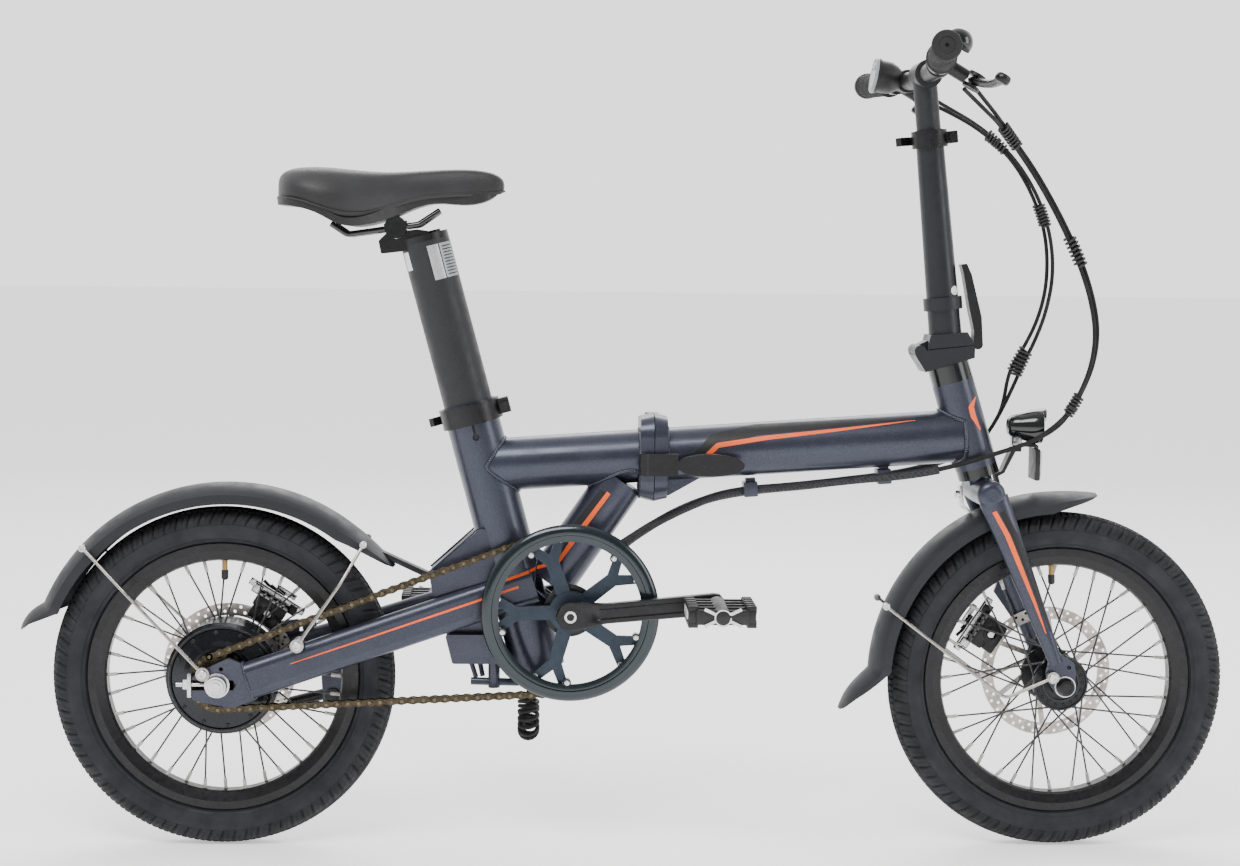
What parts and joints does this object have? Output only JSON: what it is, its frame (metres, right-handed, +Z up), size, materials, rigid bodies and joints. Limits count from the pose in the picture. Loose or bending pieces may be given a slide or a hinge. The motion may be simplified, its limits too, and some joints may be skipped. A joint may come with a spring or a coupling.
{
  "type": "folding electric bicycle",
  "caption": "Small-wheeled folding electric bicycle with a hinged frame, folding handlepost, seatpost battery, rear hub motor and disc brakes.",
  "frame": {"origin": "on the ground, midway between the ends of the bicycle in length and width", "axes": "+X forward, +Y the rider's left, +Z up"},
  "size_m": [1.4448, 0.5642, 0.9743],
  "materials": {
    "frame_paint": "satin metallic dark blue-grey paint with orange stripes",
    "black_metal": "satin black anodised or painted metal",
    "post_metal": "matte dark grey anodised metal",
    "bright_metal": "bare machined metal",
    "stainless": "drilled stainless steel",
    "chain_steel": "oiled dark steel",
    "tyre_rubber": "moulded charcoal rubber",
    "soft_black": "black synthetic leather",
    "grip_rubber": "ribbed dark grey rubber",
    "fender_plastic": "dark satin plastic",
    "black_plastic": "black moulded plastic",
    "gloss_black": "glossy black",
    "cable_jacket": "black cable jacket",
    "cell_wrap": "shrink-wrapped battery cells"
  },
  "bodies": {
    "rear_frame": {"rear_frame": "frame_paint", "bottom_bracket": "black_metal", "controller": "black_plastic", "battery_lead_coil": "cable_jacket", "rear_fender": "fender_plastic", "rear_fender_stays": "stainless", "rear_caliper": "black_metal", "motor_axle": "bright_metal", "chain": "chain_steel", "seat_clamp": "black_metal"},
    "kickstand": {"kickstand_leg": "black_metal"},
    "seat_clamp_lever": {"seat_clamp_lever": "black_metal"},
    "seatpost": {"seatpost_tube": "post_metal", "seatpost_head": "black_metal", "battery_cells": "cell_wrap", "battery_plug": "black_plastic", "battery_lead": "cable_jacket"},
    "saddle": {"saddle_cover": "soft_black", "saddle_base": "black_plastic", "saddle_rails": "bright_metal"},
    "rear_wheel": {"rear_tyre": "tyre_rubber", "rear_rim": "black_metal", "rear_spokes": "black_metal", "motor_shell": "black_metal", "rear_rotor": "stainless"},
    "freewheel": {"freewheel": "chain_steel"},
    "crank": {"crank_arms": "black_metal", "chainring": "black_metal", "chain_guard": "gloss_black"},
    "right_pedal": {"right_pedal": "black_plastic"},
    "left_pedal": {"left_pedal": "black_plastic"},
    "front_frame": {"front_frame": "frame_paint", "headset": "black_metal", "frame_cables": "cable_jacket"},
    "frame_latch": {"frame_latch_lever": "black_metal"},
    "fork": {"fork": "frame_paint", "stem_base": "black_metal", "front_axle": "bright_metal", "front_fender": "fender_plastic", "front_fender_stays": "stainless", "front_caliper": "black_metal", "lamp_bracket": "black_metal"},
    "headlamp": {"headlamp": "gloss_black"},
    "front_wheel": {"front_tyre": "tyre_rubber", "front_rim": "black_metal", "front_spokes": "black_metal", "front_hub": "black_metal", "front_rotor": "stainless"},
    "handlepost": {"handlepost": "post_metal", "post_clamp": "black_metal"},
    "post_clamp_lever": {"post_clamp_lever": "black_metal"},
    "post_latch": {"post_latch_lever": "black_metal"},
    "handlebar": {"handlebar": "post_metal", "grips": "grip_rubber", "display": "black_plastic", "bell": "gloss_black", "brake_lever_brackets": "black_metal", "handlebar_cables": "cable_jacket"},
    "right_brake_lever": {"right_brake_lever": "black_metal"},
    "left_brake_lever": {"left_brake_lever": "black_metal"}
  },
  "joints": [
    {"name": "main_fold", "type": "hinge", "parent": "rear_frame", "child": "front_frame", "pos_m": [0.029, 0.046, 0.469], "axis": [0, 0, 1], "range_deg": [0, 145], "deforming": ["frame_cables", "handlebar_cables"]},
    {"name": "frame_latch", "type": "hinge", "parent": "rear_frame", "child": "frame_latch", "pos_m": [0.017, -0.0495, 0.464], "axis": [0, 0, 1], "range_deg": [-110, 0]},
    {"name": "steering", "type": "hinge", "parent": "front_frame", "child": "fork", "pos_m": [0.4185, 0, 0.4605], "axis": [-0.2907, 0, 0.9568], "range_deg": [-60, 60], "deforming": ["frame_cables", "handlebar_cables"]},
    {"name": "handlepost_fold", "type": "hinge", "parent": "fork", "child": "handlepost", "pos_m": [0.344, 0, 0.599], "axis": [0, 1, 0], "range_deg": [-90, 0], "deforming": ["frame_cables", "handlebar_cables"]},
    {"name": "post_latch", "type": "hinge", "parent": "fork", "child": "post_latch", "pos_m": [0.4155, 0, 0.607], "axis": [0, 1, 0], "range_deg": [0, 110]},
    {"name": "handlebar_height", "type": "slide", "parent": "handlepost", "child": "handlebar", "axis": [-0.1045, 0, 0.9945], "range_m": [-0.038, 0.06], "deforming": ["frame_cables", "handlebar_cables"]},
    {"name": "post_clamp_lever", "type": "hinge", "parent": "handlepost", "child": "post_clamp_lever", "pos_m": [0.37902, 0.0176, 0.85247], "axis": [-0.1045, 0, 0.9945], "range_deg": [-150, 0]},
    {"name": "right_brake_lever", "type": "hinge", "parent": "handlebar", "child": "right_brake_lever", "pos_m": [0.37401, -0.152, 0.90581], "axis": [-0.4983, 0, -0.867], "range_deg": [0, 18], "stiffness_Nm_per_rad": 1.2},
    {"name": "left_brake_lever", "type": "hinge", "parent": "handlebar", "child": "left_brake_lever", "pos_m": [0.37401, 0.152, 0.90581], "axis": [0.4983, 0, 0.867], "range_deg": [0, 18], "stiffness_Nm_per_rad": 1.2},
    {"name": "headlamp_tilt", "type": "hinge", "parent": "fork", "child": "headlamp", "pos_m": [0.466, 0, 0.489], "axis": [0, 1, 0], "range_deg": [-10, 10]},
    {"name": "front_wheel_spin", "type": "hinge", "parent": "fork", "child": "front_wheel", "pos_m": [0.52, 0, 0.203], "axis": [0, 1, 0], "continuous": true},
    {"name": "rear_wheel_spin", "type": "hinge", "parent": "rear_frame", "child": "rear_wheel", "pos_m": [-0.48, 0, 0.203], "axis": [0, 1, 0], "continuous": true},
    {"name": "freewheel_spin", "type": "hinge", "parent": "rear_frame", "child": "freewheel", "pos_m": [-0.48, -0.045, 0.203], "axis": [0, 1, 0], "continuous": true},
    {"name": "crank_spin", "type": "hinge", "parent": "rear_frame", "child": "crank", "pos_m": [-0.069, 0, 0.289], "axis": [0, 1, 0], "continuous": true},
    {"name": "right_pedal_spin", "type": "hinge", "parent": "crank", "child": "right_pedal", "pos_m": [0.10025, -0.14, 0.305], "axis": [0, 1, 0], "continuous": true},
    {"name": "left_pedal_spin", "type": "hinge", "parent": "crank", "child": "left_pedal", "pos_m": [-0.23825, 0.14, 0.273], "axis": [0, 1, 0], "continuous": true},
    {"name": "kickstand_swing", "type": "hinge", "parent": "rear_frame", "child": "kickstand", "pos_m": [-0.358, 0.085, 0.165], "axis": [0, 1, 0], "range_deg": [-95, 0]},
    {"name": "seatpost_height", "type": "slide", "parent": "rear_frame", "child": "seatpost", "axis": [-0.2622, 0, 0.965], "range_m": [-0.11, 0.06], "deforming": ["battery_lead_coil", "battery_lead"]},
    {"name": "seat_clamp_lever", "type": "hinge", "parent": "rear_frame", "child": "seat_clamp_lever", "pos_m": [-0.14851, 0.0176, 0.52973], "axis": [-0.2622, 0, 0.965], "range_deg": [-150, 0]},
    {"name": "saddle_tilt", "type": "hinge", "parent": "seatpost", "child": "saddle", "pos_m": [-0.2765, 0, 0.738], "axis": [0, 1, 0], "range_deg": [-10, 10]}
  ],
  "couplings": [
    {"joint": "freewheel_spin", "follows": "crank_spin", "ratio": 3}
  ]
}
